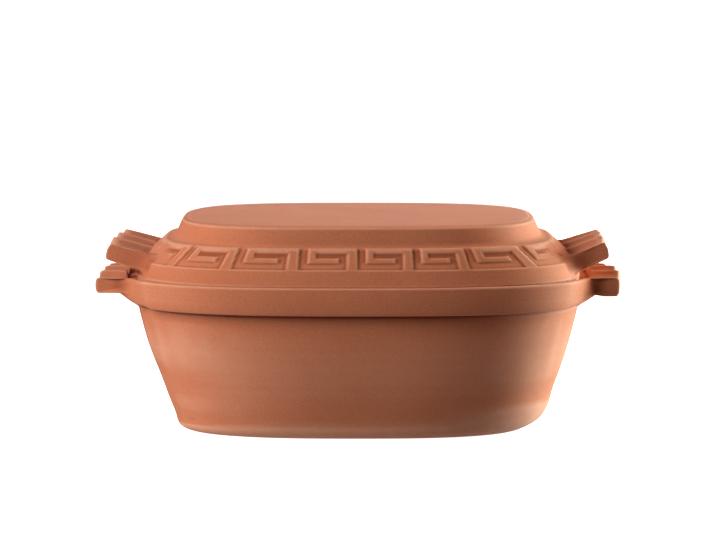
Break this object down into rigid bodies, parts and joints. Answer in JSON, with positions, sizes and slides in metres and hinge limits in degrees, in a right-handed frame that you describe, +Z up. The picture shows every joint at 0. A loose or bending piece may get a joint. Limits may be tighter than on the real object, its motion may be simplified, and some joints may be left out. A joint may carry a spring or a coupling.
{
  "type": "clay roaster",
  "caption": "Oval unglazed clay roaster: a deep baking dish and a domed lid with a Greek key border, both with fluted end lugs.",
  "frame": {"origin": "centre of the dish's flat foot, on the surface it stands on", "axes": "+X along the length, lug to lug; +Y across the width, towards the back; +Z up"},
  "size_m": [0.3808, 0.2426, 0.157],
  "materials": {
    "dish_terracotta": "matte unglazed terracotta, fine grained",
    "lid_terracotta": "matte unglazed terracotta, fine grained"
  },
  "bodies": {
    "dish": {"base_dish": "dish_terracotta"},
    "lid": {"lid": "lid_terracotta"}
  },
  "joints": [
    {"name": "lid_lift", "type": "slide", "parent": "dish", "child": "lid", "axis": [0, 0, 1], "range_m": [0, 0.12]}
  ]
}
